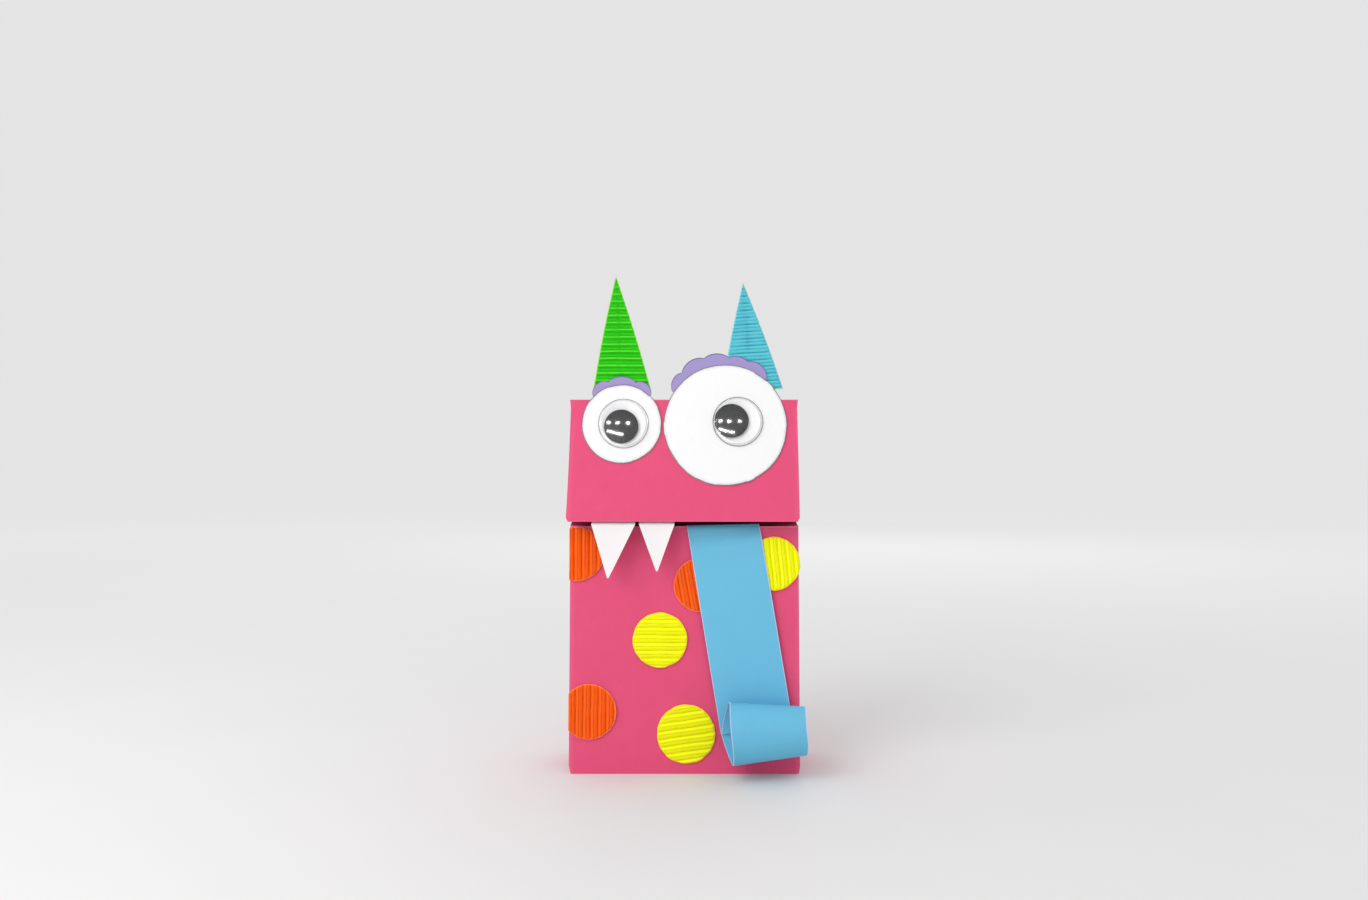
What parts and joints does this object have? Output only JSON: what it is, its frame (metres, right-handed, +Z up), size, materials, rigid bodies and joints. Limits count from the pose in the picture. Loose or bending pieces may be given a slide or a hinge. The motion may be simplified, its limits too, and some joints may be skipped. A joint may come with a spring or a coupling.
{
  "type": "paper bag hand puppet",
  "caption": "Monster hand puppet made from a flat-bottomed paper bag: its folded bottom is a hinged head that opens over a mouth, with a curled tongue, horns and wiggle eyes.",
  "frame": {"origin": "centre of the hand opening, on the plane that the bag's rim stands on", "axes": "+Z up along the puppet, +Y out of its back, +X to its own left, which is right as seen from the front"},
  "size_m": [0.1007, 0.0562, 0.2178],
  "materials": {
    "bag_paper": "matte coloured bag paper",
    "white_card": "smooth white card",
    "purple_paper": "matte coloured construction paper",
    "blue_paper": "smooth coloured paper",
    "orange_corrugated": "fluorescent corrugated card, pale cut edges",
    "yellow_corrugated": "fluorescent corrugated card, pale cut edges",
    "green_corrugated": "bright corrugated card, pale cut edges",
    "blue_corrugated": "metallic-tinted corrugated card, pale cut edges",
    "clear_dome": "clear moulded plastic film",
    "white_backing": "white plastic sheet",
    "black_pupil": "glossy black plastic disc"
  },
  "bodies": {
    "bag": {"back_panel": "bag_paper", "back_seam": "bag_paper", "dot_orange_centre_backing": "orange_corrugated", "dot_orange_centre_flutes": "orange_corrugated", "dot_orange_lower_left_backing": "orange_corrugated", "dot_orange_lower_left_flutes": "orange_corrugated", "dot_orange_upper_left_backing": "orange_corrugated", "dot_orange_upper_left_flutes": "orange_corrugated", "dot_yellow_lower_backing": "yellow_corrugated", "dot_yellow_lower_flutes": "yellow_corrugated", "dot_yellow_middle_backing": "yellow_corrugated", "dot_yellow_middle_flutes": "yellow_corrugated", "dot_yellow_upper_right_backing": "yellow_corrugated", "dot_yellow_upper_right_flutes": "yellow_corrugated", "front_panel": "bag_paper", "gusset_left_front": "bag_paper", "gusset_left_rear": "bag_paper", "gusset_right_front": "bag_paper", "gusset_right_rear": "bag_paper", "mouth_floor": "bag_paper", "shoulder_gusset_left": "bag_paper", "shoulder_gusset_right": "bag_paper", "tongue_tab": "blue_paper", "top_fold": "bag_paper"},
    "head": {"head_flap": "bag_paper", "bottom_tab_upper": "bag_paper", "bottom_tab_lower": "bag_paper", "cheek_gusset_left": "bag_paper", "cheek_gusset_right": "bag_paper", "mouth_roof": "bag_paper", "eye_disc_small": "white_card", "eye_disc_large": "white_card", "wiggle_back_small": "white_backing", "wiggle_back_large": "white_backing", "wiggle_dome_small": "clear_dome", "wiggle_dome_large": "clear_dome", "brow_small": "purple_paper", "brow_large": "purple_paper", "horn_left_backing": "green_corrugated", "horn_left_flutes": "green_corrugated", "horn_right_backing": "blue_corrugated", "horn_right_flutes": "blue_corrugated", "tooth_left": "white_card", "tooth_right": "white_card"},
    "tongue": {"tongue_strip": "blue_paper", "tongue_curl": "blue_paper"},
    "pupil_small": {"pupil_small": "black_pupil"},
    "pupil_large": {"pupil_large": "black_pupil"}
  },
  "joints": [
    {"name": "mouth_open", "type": "hinge", "parent": "bag", "child": "head", "pos_m": [0, -0.00864, 0.16115], "axis": [-1, 0, 0], "range_deg": [0, 40], "deforming": ["mouth_roof", "cheek_gusset_left", "cheek_gusset_right", "shoulder_gusset_left", "shoulder_gusset_right"]},
    {"name": "tongue_lift", "type": "hinge", "parent": "bag", "child": "tongue", "pos_m": [0.002, -0.01115, 0.10133], "axis": [-0.9869, -0.0099, -0.1613], "range_deg": [0, 75]},
    {"name": "pupil_small_turn", "type": "hinge", "parent": "head", "child": "pupil_small", "pos_m": [-0.0264, -0.01101, 0.15105], "axis": [0, -0.9826, 0.1857], "continuous": true},
    {"name": "pupil_large_turn", "type": "hinge", "parent": "head", "child": "pupil_large", "pos_m": [0.0235, -0.01085, 0.15188], "axis": [0, -0.9826, 0.1857], "continuous": true}
  ]
}
